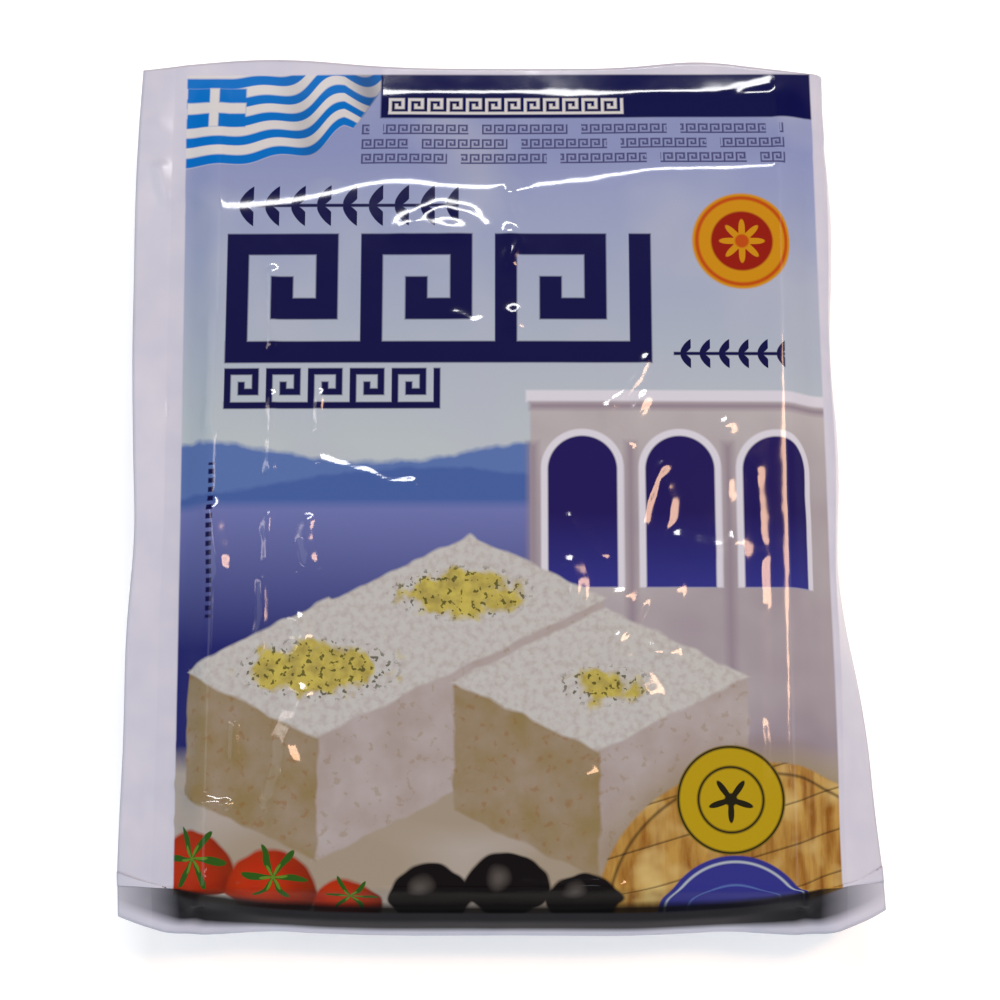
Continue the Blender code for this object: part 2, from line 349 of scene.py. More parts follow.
CREASES_ALONG = (
    (0.8, (-42.8, 37.4), (-42.5, 22.8)),
    (0.9, (-42.4, 13.2), (-42.3, -1.1)),
    (0.7, (-42.6, -9.5), (-42.8, -17.9)),
    (0.8, (-43.5, -21.6), (-43.4, -34.5)),
    (1.6, (-55.4, 27.6), (-54.3, 8.4)),
    (2.0, (-53.2, -8.6), (-51.4, -18.8)),
    (1.2, (-35.3, -10.5), (-35.9, -14.2), (-35.2, -17.9)),
    (1.4, (-36.8, -29.0), (-35.8, -31.8), (-37.7, -35.4)),
    (1.8, (-35.8, -42.7), (-36.8, -46.3), (-38.7, -51.7)),
    (1.9, (-38.1, -54.4), (-39.1, -58.0), (-40.8, -62.4)),
    (0.8, (-47.8, -48.1), (-47.7, -53.5)),
    (0.8, (-59.6, -51.7), (-57.4, -54.4)),
    (0.8, (-33.4, 13.2), (-33.5, 6.5)),
    (0.8, (27.0, 19.9), (26.1, 17.0), (23.8, 13.8), (21.3, 11.9)),
    (1.2, (26.9, 12.8), (26.0, 10.7), (25.0, 9.9)),
    (1.2, (19.8, 10.3), (20.0, 7.5), (22.2, 6.1), (23.5, 3.7)),
    (0.9, (29.9, -0.3), (28.6, -2.9), (27.2, -6.7), (26.3, -10.5), (25.0, -11.6)),
    (0.9, (30.8, -3.9), (31.3, -6.7), (30.7, -10.5), (29.3, -14.2)),
    (1.0, (12.9, -10.5), (13.8, -12.3), (16.5, -15.1), (18.7, -17.0)),
    (1.6, (13.0, -18.8), (14.1, -21.6), (13.7, -25.3)),
    (1.7, (21.0, -24.8), (22.8, -24.9)),
    (1.0, (26.1, -26.2), (25.0, -28.1), (23.7, -30.3), (21.8, -32.3)),
    (2.1, (20.7, -34.5), (19.6, -37.8)),
    (2.1, (23.2, -35.4), (25.4, -34.4), (27.2, -34.7)),
    (1.4, (28.7, -34.6), (30.9, -34.9)),
    (1.3, (31.9, -23.5), (31.9, -24.3)),
    (2.2, (25.3, -40.8), (26.6, -42.4), (26.0, -44.6)),
    (0.8, (45.3, 2.3), (46.5, 0.5), (47.4, -0.7), (47.4, -2.0)),
    (0.7, (47.4, -2.9), (48.0, -14.2)),
    (0.8, (48.0, -17.9), (47.8, -26.2)),
    (0.8, (42.2, -2.9), (42.0, -5.8)),
    (0.9, (1.9, 52.5), (2.8, 48.2)),
    (1.2, (1.9, 44.9), (2.8, 42.3), (1.9, 39.0)),
    (1.3, (2.4, 29.0), (2.8, 27.0)),
    (1.8, (15.3, -57.1), (12.5, -61.6), (8.6, -68.3)),
    (0.8, (47.3, -48.1), (46.9, -61.6)),
    (1.3, (-66.6, 60.0), (-65.0, 53.0)),
)


def away_from_path(x, y, path):
    """Distance of each place from a path of straight steps."""
    nearest = np.full(x.shape, np.inf)
    for start, end in zip(path, path[1:]):
        run_x, run_y = end[0] - start[0], end[1] - start[1]
        along = ((x - start[0]) * run_x + (y - start[1]) * run_y) / (run_x**2 + run_y**2)
        along = np.clip(along, 0, 1)
        away = np.hypot(x - start[0] - along * run_x, y - start[1] - along * run_y)
        nearest = np.minimum(nearest, away)
    return nearest


# The cheese under the film: height, size and seed of each layer of noise, in mm.
CHEESE_SWELLS = ((0.12, 25.0, 3), (0.05, 9.0, 5))
CHEESE_GRAIN, GRAIN_SIZE = 0.020, 3.4
STREAK_HEIGHT, STREAK_SIZE, STREAK_LENGTHENING = 0.035, 1.9, 0.11
STREAK_ZONES = ((-43, 12), (50, 8))  # middle and reach
STREAK_FADE = (46, 36)
CREASE_SHAKE, SHAKE_SIZE = 0.45, 4.0
CREASE_UNEVENNESS, UNEVEN_SIZE = 0.22, 2.4
LEAST_STEEPNESS = 0.1


def face_relief(u, v):
    """Relief of the film on the block's front, in mm, from flat coordinates in mm."""
    height = sum(amount * noise(u, v, size, seed) for amount, size, seed in CHEESE_SWELLS)
    height = height + CHEESE_GRAIN * layered_noise(u, v, GRAIN_SIZE, 7)
    streaks = sum(bump((u - middle) / reach) for middle, reach in STREAK_ZONES) * ramp(*STREAK_FADE, v)
    height = height + STREAK_HEIGHT * streaks * layered_noise(u, v * STREAK_LENGTHENING, STREAK_SIZE, 9)
    shaken_u = u + CREASE_SHAKE * layered_noise(u, v, SHAKE_SIZE, 11)
    shaken_v = v + CREASE_SHAKE * layered_noise(u, v, SHAKE_SIZE, 13)
    uneven = 1 + CREASE_UNEVENNESS * noise(u, v, UNEVEN_SIZE, 15)
    across = np.maximum(ACROSS_STEEPNESS[0] + ACROSS_STEEPNESS[1] * v, LEAST_STEEPNESS)
    along = ALONG_STEEPNESS[0] + ALONG_STEEPNESS[1] * u
    for steepness, creases in ((across, CREASES_ACROSS), (along, CREASES_ALONG)):
        for width, *path in creases:
            away = away_from_path(shaken_u, shaken_v, path)
            height = height + steepness * width * uneven * bump(away / width)
    return height


def side_relief(u, v):
    """Relief of the film where it comes down round the block, in mm: puckers and small creases."""
    puckers = 0.16 * layered_noise(u * 0.35, v, 5.5, 21)
    return puckers + 0.06 * layered_noise(u, v * 0.16, 2.4, 23)


MARGIN_SWELL, MARGIN_SWELL_SIZE = 0.10, 12.0
WELD_AWAY, WELD_DEPTH, WELD_HALF = 1.6, 0.05, 0.9
CRUMPLE_HEIGHT, CRUMPLE_SIZE = 0.16, 2.4
CRUMPLE_PLACE, CRUMPLE_REACH = (-66, -57), (5, 15)


def margin_relief(u, v):
    """Relief of the welded margins, in mm: slow waves, the weld's edge and a crumpled stretch."""
    weld = -WELD_DEPTH * bump((np.abs(u) - PRINT_EDGE / MM - WELD_AWAY) / WELD_HALF)
    place, reach = CRUMPLE_PLACE, CRUMPLE_REACH
    crumpled = bump((u - place[0]) / reach[0]) * bump((v - place[1]) / reach[1])
    crumple = CRUMPLE_HEIGHT * crumpled * layered_noise(u * 1.2, v * 0.7, CRUMPLE_SIZE, 33)
    return MARGIN_SWELL * layered_noise(u, v, MARGIN_SWELL_SIZE, 31) + weld + crumple


def front_relief(u, v, x, y):
    """Height of the front sheet above its plain form, in metres."""
    off_block = turned_down(x, y)
    on_slope = 4 * off_block * (1 - off_block)
    u, v = u / MM, v / MM
    calm = 1 - 0.75 * ramp(0.02, 0.3, off_block) * ramp(0.98, 0.8, off_block) * ramp(0, 20, v)
    height = (face_relief(u, v) + side_relief(u, v) * on_slope) * calm
    return (height + margin_relief(u, v) * ramp(0.97, 1.0, off_block)) * MM


def back_relief(u, v, x, y):
    """Height of the back sheet's relief, which fades out where the block rests."""
    off_block = turned_down(x, y)
    on_slope = 4 * off_block * (1 - off_block)
    u, v = u / MM, v / MM
    pleats = 0.9 * layered_noise(u * 0.3, v, 5.5, 41) + 0.8 * layered_noise(u, v * 0.3, 5.0, 43)
    height = pleats * on_slope
    return (height - margin_relief(u, v) * ramp(0.97, 1.0, off_block)) * MM


# The film's materials. The upper and the lower front differ in their print alone.
UPPER, LOWER, UPPER_TURNED, LOWER_TURNED, MARGIN, BACK = range(6)
UPPER_LOWS = (9.3 * MM, 15.5 * MM)  # the lower front ends here, left and right of the next place
UPPER_STEP = 3.0 * MM


def front_slots(u, v):
    """Which material each face of the front sheet has."""
    upper = v[:-1, :-1] > np.where(u[:-1, :-1] < UPPER_STEP, *UPPER_LOWS)
    left, right = CELLS_ACROSS["left margin"], CELLS_ACROSS["right margin"]
    side, low = CELLS_ACROSS["side"] - 2, CELLS_ALONG["bottom margin"] + CELLS_ALONG["bottom side"]
    turned = np.zeros(upper.shape, dtype=bool)
    turned[: left + side] = turned[-right - side :] = True
    turned[:, :low] = True
    foot = CELLS_ALONG["top margin"] + FOOT_CELLS
    turned[: np.searchsorted(u[:, 0], BAND_LEFT * MM), -foot:] = True
    slots = np.where(upper, np.where(turned, UPPER_TURNED, UPPER), np.where(turned, LOWER_TURNED, LOWER))
    slots[: left - 3] = slots[3 - right :] = MARGIN
    return slots


def quads(ids):
    """The four-sided faces between the points of a grid, from the points' numbers."""
    return np.stack([ids[:-1, :-1], ids[1:, :-1], ids[1:, 1:], ids[:-1, 1:]], -1).reshape(-1, 4).tolist()


def film_mesh():
    """The closed film: its mesh, with a UV layer that holds flat film coordinates in metres."""
    u, v, x, y = film_grid()
    front, back = sheet(x, y, 1), sheet(x, y, -1)
    out_of_front, out_of_back = surface_normals(front), surface_normals(back)
    front = front + out_of_front * front_relief(u, v, x, y)[..., None]
    back = back + out_of_back * back_relief(u, v, x, y)[..., None]
    back[..., 2] = np.maximum(back[..., 2], 0)
    for points in (front, back):
        points[..., :2] -= MIDDLE

    step = BACK_STEP
    columns, rows = u.shape
    coarse = back[::step, ::step]
    vertices = np.concatenate([front.reshape(-1, 3), coarse.reshape(-1, 3)])
    flat = np.stack([u, v], -1)
    flats = np.concatenate([flat.reshape(-1, 2), flat[::step, ::step].reshape(-1, 2)])
    front_ids = np.arange(columns * rows).reshape(columns, rows)
    back_ids = columns * rows + np.arange(coarse[..., 0].size).reshape(coarse.shape[:2])
    faces = quads(front_ids)
    front_count = len(faces)
    faces += quads(back_ids.T)
    last_i, last_j = coarse.shape[0] - 1, coarse.shape[1] - 1
    rim = [(i, 0) for i in range(last_i)] + [(last_i, j) for j in range(last_j)]
    rim += [(i, last_j) for i in range(last_i, 0, -1)] + [(0, j) for j in range(last_j, 0, -1)]
    for (i, j), (k, m) in zip(rim, rim[1:] + rim[:1]):
        low, high = int(back_ids[i, j]), int(back_ids[k, m])
        chain = [int(front_ids[i * step + (k - i) * s, j * step + (m - j) * s]) for s in range(step + 1)]
        middle = step // 2
        for s in range(middle):
            faces.append((low, chain[s + 1], chain[s]))
        faces.append((low, high, chain[middle + 1], chain[middle]))
        for s in range(middle + 1, step):
            faces.append((high, chain[s + 1], chain[s]))

    mesh = bpy.data.meshes.new("pouch_film")
    mesh.from_pydata(vertices.tolist(), [], faces)
    layer = mesh.uv_layers.new(name="flat_film")
    corners = np.empty(len(mesh.loops), dtype=np.int32)
    mesh.loops.foreach_get("vertex_index", corners)
    uv = flats[corners] / FLAT_SPAN + 0.5
    layer.data.foreach_set("uv", uv.ravel())
    slots = np.full(len(faces), BACK, dtype=np.int32)
    slots[:front_count] = front_slots(u, v).ravel()
    mesh.polygons.foreach_set("material_index", slots)
    mesh.shade_smooth()
    return mesh


FLAT_SPAN = 200 * MM  # the UV square spans this much of the flat film


class Pen:
    """Builds a colour from layers of simple shapes, in millimetres of the flat film."""

    def __init__(self, tree):
        self.tree = tree
        self.colour = None

    def node(self, kind):
        return self.tree.nodes.new(kind)

    def link(self, value, socket):
        if isinstance(value, (int, float, tuple)):
            socket.default_value = value
        else:
            self.tree.links.new(value, socket)

    def math(self, operation, *values, clamp=False):
        node = self.node("ShaderNodeMath")
        node.operation = operation
        node.use_clamp = clamp
        for value, socket in zip(values, node.inputs):
            self.link(value, socket)
        return node.outputs[0]

    def less(self, value, taken):
        return self.math("SUBTRACT", value, taken)

    def times(self, first, second):
        return self.math("MULTIPLY", first, second)

    def scaled(self, value, factor, plus, clamp=False):
        return self.math("MULTIPLY_ADD", value, factor, plus, clamp=clamp)

    def repeated(self, value, length):
        """The value in its own stretch, where stretches of one length follow each other."""
        return self.math("FLOORED_MODULO", value, length)

    def line(self, a, b, c):
        """a x + b y + c."""
        partial = self.scaled(self.y, float(b), float(c))
        return self.scaled(self.x, float(a), partial)

    def inside(self, distance, blur=0.4):
        """1 where a signed distance is below 0, with a soft edge."""
        return self.scaled(distance, -1 / blur, 0.5, clamp=True)

    def span(self, value, low, high):
        """Signed distance of a value to a stretch, below 0 inside it."""
        off = self.math("ABSOLUTE", self.less(value, (low + high) / 2))
        return self.less(off, (high - low) / 2)

    def within(self, distance, reach, blur=0.4):
        return self.inside(self.less(distance, reach), blur)

    def both(self, *masks):
        result = masks[0]
        for mask in masks[1:]:
            result = self.math("MINIMUM", result, mask)
        return result

    def either(self, *masks):
        result = masks[0]
        for mask in masks[1:]:
            result = self.math("MAXIMUM", result, mask)
        return result

    def box(self, left, low, right, high, x=None, blur=0.4):
        across, along = self.span(x or self.x, left, right), self.span(self.y, low, high)
        return self.inside(self.math("MAXIMUM", across, along), blur)

    def away(self, cx, cy, stretch=1.0):
        """Distance from a point, with Y counted stretch times."""
        dx, dy = self.less(self.x, cx), self.less(self.y, cy)
        if stretch != 1.0:
            dy = self.times(dy, stretch)
        square = self.scaled(dx, dx, self.times(dy, dy))
        return self.math("SQRT", square)

    def disc(self, cx, cy, radius, stretch=1.0, blur=0.4):
        return self.within(self.away(cx, cy, stretch=stretch), radius, blur)

    def ring(self, distance, radius, width, blur=0.4):
        return self.inside(self.span(distance, radius - width / 2, radius + width / 2), blur)

    def noise_node(self, size, detail, place=None):
        node = self.node("ShaderNodeTexNoise")
        node.noise_dimensions = "2D"
        node.inputs["Scale"].default_value = 1 / size
        node.inputs["Detail"].default_value = detail
        self.link(place or self.place, node.inputs["Vector"])
        return node

    def wobbled(self, amount, size):
        """A copy of this pen, whose shapes get edges uneven by about the given amount."""
        node = self.noise_node(size, 1.0)
        split = self.node("ShaderNodeSeparateXYZ")
        self.link(node.outputs["Color"], split.inputs[0])
        copy = Pen(self.tree)
        copy.place, copy.colour = self.place, self.colour
        shift_x = self.scaled(split.outputs[0], 4 * amount, -2 * amount)
        shift_y = self.scaled(split.outputs[1], 4 * amount, -2 * amount)
        copy.x, copy.y = self.math("ADD", self.x, shift_x), self.math("ADD", self.y, shift_y)
        return copy

    def fill(self, mask, colour):
        """Lays a colour over what is painted so far, where the mask is 1."""
        self.colour = self.blend(mask, self.colour, colour)

    def blend(self, share, first, second):
        node = self.node("ShaderNodeMix")
        node.data_type = "RGBA"
        self.link(share, node.inputs["Factor"])
        self.link(first, node.inputs["A"])
        self.link(second, node.inputs["B"])
        return node.outputs["Result"]

    def share(self, value, start, end):
        """0 at start and 1 at end."""
        slope = 1 / (end - start)
        return self.scaled(value, slope, -start * slope, clamp=True)

    def mottle(self, size, detail=2.0):
        """Noise from 0 to 1 that changes over about the given number of millimetres."""
        return self.noise_node(size, detail).outputs["Fac"]


PRINT_REFLECTANCE = 0.77  # what a full white on the film gives back


def rgb(red, green, blue):
    """A colour given in the 0 to 255 steps of a screen, as the linear values that nodes take."""
    steps = [value / 255 for value in (red, green, blue)]
    linear = [s / 12.92 if s <= 0.04045 else ((s + 0.055) / 1.055) ** 2.4 for s in steps]
    return (*(PRINT_REFLECTANCE * value for value in linear), 1.0)


SKY_HIGH = rgb(134, 146, 192)
SKY_LOW = rgb(176, 189, 197)
SKY_HAZE = rgb(172, 180, 198)
NAVY = rgb(10, 12, 72)
INK = rgb(12, 10, 68)
SMALL_INK = rgb(66, 66, 112)
WHITE = rgb(206, 208, 212)
STRIPE_BLUE = rgb(0, 108, 196)
CLOTH_SHADE = rgb(30, 44, 80)
YELLOW = rgb(190, 134, 12)
ORANGE = rgb(176, 72, 10)
RED = rgb(138, 22, 4)
FAR_HILL = rgb(84, 112, 172)
NEAR_HILL = rgb(66, 94, 160)
SEA_FAR = rgb(106, 116, 176)
SEA_NEAR = rgb(32, 36, 106)
WALL = rgb(178, 176, 180)
WALL_SHADE = rgb(138, 128, 142)
ARCH = rgb(30, 20, 88)
TABLE = rgb(164, 158, 152)
CHEESE_TOP = rgb(184, 186, 186)
CHEESE_RIGHT = rgb(158, 148, 146)
CHEESE_LEFT = rgb(134, 118, 82)
OIL = rgb(186, 172, 44)
OIL_DEEP = rgb(150, 136, 22)
HERB = rgb(58, 60, 22)
TOMATO = rgb(170, 36, 8)
TOMATO_SHADE = rgb(76, 8, 6)
LEAF = rgb(42, 84, 20)
LEAF_LIGHT = rgb(92, 128, 36)
OLIVE = rgb(12, 6, 8)
BOARD = rgb(176, 140, 70)
BOARD_LIGHT = rgb(196, 172, 110)
BOARD_GRAIN = rgb(132, 84, 26)
BOARD_LINE = rgb(30, 10, 6)
GOLD = rgb(170, 146, 14)
GOLD_LINE = rgb(30, 26, 8)
CREST_BLUE = rgb(46, 48, 132)
FILM_MILK = rgb(190, 193, 214)
PACK_WHITE = rgb(204, 206, 220)
# Colour of the painted shade on the bottom edge and of the painted shadow on the margin below it.
BOTTOM_PAINTED_SHADE = rgb(4, 4, 6)

# The panel on the back, in mm: left, low, right and high of it and of the fields in it.
BACK_PANEL = (-44.0, -66.0, 44.0, 44.0)
PANEL_EDGE, PANEL_HEAD = 0.6, 13.0
PANEL_KEYS = (-38.0, 33.6, 1.3, 9, 0.3)
RULED_FIELDS = ((-38.0, -58.0, -2.0, 24.0), (4.0, -20.0, 38.0, 24.0))
PLAIN_FIELD = (4.0, -58.0, 38.0, -26.0)
RULE_STEP, RULE_WIDTH = 4.0, 0.9

# Places and sizes on the flat film, in mm.
PANEL_LEFT, PANEL_RIGHT, PANEL_TOP, PANEL_BOTTOM = -61.2, 62.5, 79.0, -84.0
PANEL_LEAN = 0.012  # the panel was printed this much out of square
BAND_LOW, BAND_LEFT = 69.5, -23.0
FACE_LOW = -81.4  # where the film turns down at the bottom
# Where the painted shade at the bottom lies: how it fades in below the face, its low end, and its fade
# towards the corners.
DARK_EASE, DARK_LOW, DARK_CORNER = 1.8, (-90.4, -88.4), (74.0, 59.0)
FLAG_CORNER = (-62.0, 67.8, -49.0, 76.3)
CROSS_ARM = 1.2  # half the width of the cross's arms
STRIPE_LOW, STRIPE_STEP = 59.4, 4.2
STRIPE_SWAY, STRIPE_RISE, STRIPE_CALM = 2.1, 6.5, (-52.0, -30.0)
STRIPES_END = (-27.0, 69.0)  # the cloth's slanting end goes through here
WORD_ROWS = (-26.5, 56.0, 58.9, 68.1)  # left, right, low and high
WORD_LENGTH, WORD_GAP, WORD_SHIFT = 19.0, 2.6, 2.2
WORD_ROW, WORD_HEIGHT = 3.4, 2.3
# Each running key: left, low, step, units and blur.
BAND_KEYS = (BAND_LEFT + 1.5, BAND_LOW + 0.9, 0.62, 12, 0.3)
HEAD_KEYS = (-51.4, 19.4, 4.2, 3, 0.35)
LOW_KEYS = (-51.4, 10.6, 1.3, 5, 0.3)
# Each sprig: left, middle height, cell, count of cells and leaf length.
HIGH_SPRIG = (-51.5, 50.2, 4.9, 9, 5.4)
RIGHT_SPRIG = (32.0, 21.2, 3.6, 6, 3.6)
# The round marks: middle and radius.
CREST = (42.0, -85.0, 13.6)
MEDAL = (41.4, -61.5, 9.7)
BOARD_MIDDLE, BOARD_RADIUS, BOARD_STRETCH = (48.0, -82.5), 31.0, 1.12
BOARD_SHADOW, BOARD_RIM, PLANK_WIDTH, JOINT_WIDTH = 6.0, 2.2, 7.5, 0.35
GRAIN_STRETCH = (0.9, 0.18, 1)
DOT_COLUMN, DOT_STEP, DOT_HEIGHT = (-54.0, -28.5, -52.8, 0.5), 1.7, 1.0
ROSETTE = (45.6, 43.2, 9.4)

SKY_FADE = (62.0, 4.0)
HAZE_SIZE = 24.0
SEA_FADE = (-7.0, -34.0)
SHORE, SHORE_BLUR = -7.5, 2.0
HILL_ROUGHNESS = 1.6
# Each row of hills: its waves' height, turn per mm and phase, then its level, blur and colour.
HILLS = ((2.2, 0.085, 0.4, 1.8, 1.2, FAR_HILL), (2.6, 0.062, 2.4, -4.0, 0.9, NEAR_HILL))

# The arcade: its left end and its top, and the arches' middles, foot, half width and straight height.
ARCADE_LEFT, ARCADE_TOP = 5.6, 12.5
ARCHES = (15.2, 33.2, 51.2)
ARCH_FOOT, ARCH_HALF, ARCH_STRAIGHT = -23.0, 6.4, 22.0
ARCH_BORDER, ARCH_GLOW = 1.3, 14.0
WALL_FOOT, WALL_RIGHT = -60.0, 70.0  # both out of sight
LEDGE_LOW, LEDGE_HIGH, LEDGE_OUT, LEDGE_SHADE = -0.6, 1.6, 0.8, 2.0
GROOVE = (-9.9, -8.3, 4.0)  # left and right of an arch's middle, and its top
WALL_FADE = (12.0, -56.0)
TABLE_EDGE, TABLE_BLUR = -54.0, 5.0

# Each diced piece of cheese: the front corner of its top, and how large it is drawn. Then the edges
# of a piece of size 1, its shadow on the table, and the pools of oil: middle, reach and stretch.
DICE = ((-7.0, -37.5, 1.0), (-33.0, -50.0, 1.02), (17.5, -52.5, 1.06))
DICE_RIGHT = (25.5, 12.5)
DICE_LEFT = (-24.0, 11.5)
DICE_HEIGHT = 21.5
DICE_SHADOW = (27.0, 15.0, 2.6)  # where it starts, where it is full, and its stretch
OIL_RAGGED, OIL_SPREAD, OIL_BLUR = 19.0, 11.0, 3.6
OIL_POOLS = ((-33.0, -38.0, 13.0, 2.6), (-7.0, -24.0, 11.5, 2.6), (19.0, -41.0, 7.5, 2.4))

# A tomato's leaves, in two layers: core and reach in radii, turn and green.
CALYX = ((0.08, 0.66, 0.7, LEAF), (0.04, 0.30, 0.2, LEAF_LIGHT))
POINT_SHARPNESS = 2.5  # how narrow the points of a pointed star are

# Round fruit along the bottom edge: middle and radius.
TOMATOES = ((-56.0, -75.5, 8.6), (-41.0, -78.5, 8.2), (-27.5, -82.0, 6.4))
OLIVES = ((-12.5, -79.5, 7.6), (1.2, -77.8, 8.0), (15.0, -80.5, 6.8))


def flat_pen(tree):
    """A pen whose x and y are millimetres from the middle of the flat film."""
    pen = Pen(tree)
    source = pen.node("ShaderNodeUVMap")
    source.uv_map = "flat_film"
    scale = pen.node("ShaderNodeVectorMath")
    scale.operation = "MULTIPLY_ADD"
    span = FLAT_SPAN / MM
    scale.inputs[1].default_value = (span, span, 0)
    scale.inputs[2].default_value = (-span / 2, -span / 2, 0)
    pen.link(source.outputs["UV"], scale.inputs[0])
    split = pen.node("ShaderNodeSeparateXYZ")
    pen.link(scale.outputs[0], split.inputs[0])
    pen.place = scale.outputs[0]
    pen.x, pen.y = split.outputs["X"], split.outputs["Y"]
    return pen


def paint_sky(pen):
    """A pale sky with a thin haze in it."""
    sky = pen.blend(pen.share(pen.y, *SKY_FADE), SKY_HIGH, SKY_LOW)
    haze = pen.times(pen.share(pen.mottle(HAZE_SIZE), 0.45, 0.75), 0.5)
    pen.colour = pen.blend(haze, sky, SKY_HAZE)


def paint_sea(pen):
    """Two wavy rows of hills, and the sea in front of them."""
    rough = pen.mottle(4.0)
    for height, turn, phase, level, blur, colour in HILLS:
        wave = pen.math("SINE", pen.scaled(pen.x, turn, phase))
        edge = pen.scaled(rough, -HILL_ROUGHNESS, pen.scaled(wave, -height, pen.y))
        pen.fill(pen.within(edge, level, blur), colour)
    sea = pen.blend(pen.share(pen.y, *SEA_FADE), SEA_FAR, SEA_NEAR)
    pen.fill(pen.within(pen.y, SHORE, SHORE_BLUR), sea)


def arch(pen, middle, half):
    """An arched opening: a box with a half disc on it."""
    spring = ARCH_FOOT + ARCH_STRAIGHT
    door = pen.box(middle - half, ARCH_FOOT, middle + half, spring)
    above_foot = pen.share(pen.y, ARCH_FOOT, ARCH_FOOT + 0.4)
    return pen.either(door, pen.both(pen.disc(middle, spring, half), above_foot))


def paint_arcade(pen):
    """A whitewashed arcade at the right with dark blue arches, and the pale table below."""
    shade = pen.scaled(pen.mottle(16.0), 0.7, pen.times(pen.share(pen.y, *WALL_FADE), 0.6))
    wall = pen.blend(pen.share(shade, 0.2, 1.1), WALL, WALL_SHADE)
    pen.fill(pen.box(ARCADE_LEFT, WALL_FOOT, WALL_RIGHT, ARCADE_TOP, blur=0.6), wall)
    low, high = ARCADE_TOP + LEDGE_LOW, ARCADE_TOP + LEDGE_HIGH
    pen.fill(pen.box(ARCADE_LEFT - LEDGE_OUT, low, WALL_RIGHT, high, blur=0.5), PACK_WHITE)
    under = pen.box(ARCADE_LEFT, ARCADE_TOP - LEDGE_SHADE, WALL_RIGHT, low - 0.2, blur=1.2)
    pen.fill(under, WALL_SHADE)
    glow = pen.blend(pen.share(pen.y, ARCH_FOOT + ARCH_GLOW, ARCH_FOOT), ARCH, CREST_BLUE)
    for middle in ARCHES:
        pen.fill(arch(pen, middle, ARCH_HALF + ARCH_BORDER), PACK_WHITE)
        pen.fill(arch(pen, middle, ARCH_HALF), glow)
        left, right, top = GROOVE
        pen.fill(pen.box(middle + left, WALL_FOOT, middle + right, top, blur=1.8), WALL_SHADE)
    pen.fill(pen.within(pen.y, TABLE_EDGE, TABLE_BLUR), TABLE)


def slab(pen, corner, first, second):
    """The parallelogram that two edges span from a corner."""
    middle = [corner[i] + first[i] / 2 + second[i] / 2 for i in (0, 1)]
    cross = abs(first[0] * second[1] - first[1] * second[0])
    distances = []
    for edge in (first, second):
        length = math.hypot(*edge)
        a, b = -edge[1] / length, edge[0] / length
        off = pen.math("ABSOLUTE", pen.line(a, b, -a * middle[0] - b * middle[1]))
        distances.append(pen.less(off, cross / length / 2))
    return pen.within(pen.math("MAXIMUM", *distances), 0.3, 0.6)


def paint_dice(pen):
    """Diced white cheese with pools of oil and specks of herb on top."""
    uneven = pen.wobbled(0.35, 5.0)
    crumbs = pen.times(pen.share(pen.mottle(1.3, 4.0), 0.40, 0.75), 0.5)
    pits = pen.times(pen.share(pen.mottle(1.9, 3.0), 0.62, 0.70), 0.35)
    patches = pen.times(pen.share(pen.mottle(7.0, 4.0), 0.3, 0.8), 0.55)
    top = pen.blend(crumbs, CHEESE_TOP, CHEESE_RIGHT)
    left = pen.blend(pits, pen.blend(patches, CHEESE_LEFT, CHEESE_RIGHT), BOARD_GRAIN)
    right = pen.blend(pits, pen.blend(patches, CHEESE_RIGHT, WALL), CHEESE_LEFT)
    for x, y, size in DICE:
        right_edge = tuple(size * value for value in DICE_RIGHT)
        left_edge = tuple(size * value for value in DICE_LEFT)
        down = (0.0, -size * DICE_HEIGHT)
        start, full, stretch = DICE_SHADOW
        cast = pen.away(x, y + down[1] - 1.0, stretch=stretch)
        pen.fill(pen.times(pen.share(cast, start, full), 0.45), CHEESE_LEFT)
        uneven.colour = pen.colour
        uneven.fill(slab(uneven, (x, y), right_edge, down), right)
        uneven.fill(slab(uneven, (x, y), left_edge, down), left)
        uneven.fill(slab(uneven, (x, y), right_edge, left_edge), top)
        pen.colour = uneven.colour
    rough = pen.mottle(5.0, 3.0)
    depth = pen.blend(pen.share(pen.mottle(2.6, 3.0), 0.35, 0.7), OIL, OIL_DEEP)
    specks = pen.share(pen.mottle(1.1, 2.0), 0.61, 0.66)
    for x, y, reach, stretch in OIL_POOLS:
        away = pen.away(x, y, stretch=stretch)
        pool = pen.scaled(rough, -OIL_RAGGED, pen.math("ADD", away, OIL_SPREAD - reach))
        pen.fill(pen.times(pen.inside(pool, OIL_BLUR), 0.85), depth)
        near = pen.within(away, reach * 1.1, 3.0)
        pen.fill(pen.times(pen.both(specks, near), 0.8), HERB)


def star(pen, cx, cy, radius, depth, points, turn=0.0, pointed=False):
    """A disc with a wavy edge, or with as many narrow points as asked for."""
    angle = pen.math("ARCTAN2", pen.less(pen.y, cy), pen.less(pen.x, cx))
    wave = pen.math("COSINE", pen.scaled(angle, float(points), turn))
    if pointed:
        wave = pen.math("POWER", pen.scaled(wave, 0.5, 0.5), POINT_SHARPNESS)
    edge = pen.scaled(wave, -depth, pen.away(cx, cy))
    return pen.within(edge, radius, 0.3)


